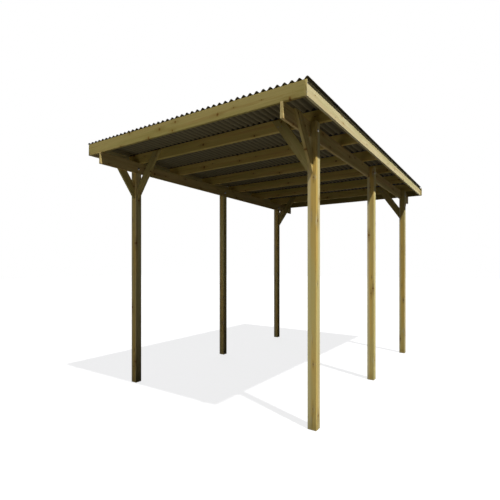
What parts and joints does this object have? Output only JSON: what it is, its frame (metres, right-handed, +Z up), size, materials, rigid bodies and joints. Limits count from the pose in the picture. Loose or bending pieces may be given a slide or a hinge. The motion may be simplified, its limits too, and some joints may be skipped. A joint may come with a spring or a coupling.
{
  "type": "carport",
  "caption": "Open timber carport: notched posts with knee braces carry side beams, cross purlins, edge boards and a lapped corrugated roof over a parking bay.",
  "frame": {"origin": "middle of the plan, on the ground under the posts", "axes": "+X to the right across the front, +Y from the front to the rear, +Z up"},
  "size_m": [3.05, 4.9337, 3.1169],
  "materials": {
    "timber": "planed softwood, pressure treated, greenish tan",
    "roof_sheet": "dark charcoal corrugated sheet"
  },
  "bodies": {
    "root": {"post_front_left": "timber", "post_middle_left": "timber", "post_back_left": "timber", "post_front_right": "timber", "post_middle_right": "timber", "post_back_right": "timber", "beam_left": "timber", "beam_right": "timber", "purlin_1": "timber", "purlin_2": "timber", "purlin_3": "timber", "purlin_4": "timber", "purlin_5": "timber", "purlin_6": "timber", "fascia_front": "timber", "fascia_rear": "timber", "fascia_left": "timber", "fascia_right": "timber", "brace_front_left_forward": "timber", "brace_front_right_forward": "timber", "brace_back_left_rearward": "timber", "brace_back_right_rearward": "timber", "brace_front_left_inward": "timber", "brace_front_right_inward": "timber", "brace_back_left_inward": "timber", "brace_back_right_inward": "timber", "roof_sheet_1": "roof_sheet", "roof_sheet_2": "roof_sheet", "roof_sheet_3": "roof_sheet", "roof_sheet_4": "roof_sheet"}
  },
  "joints": []
}
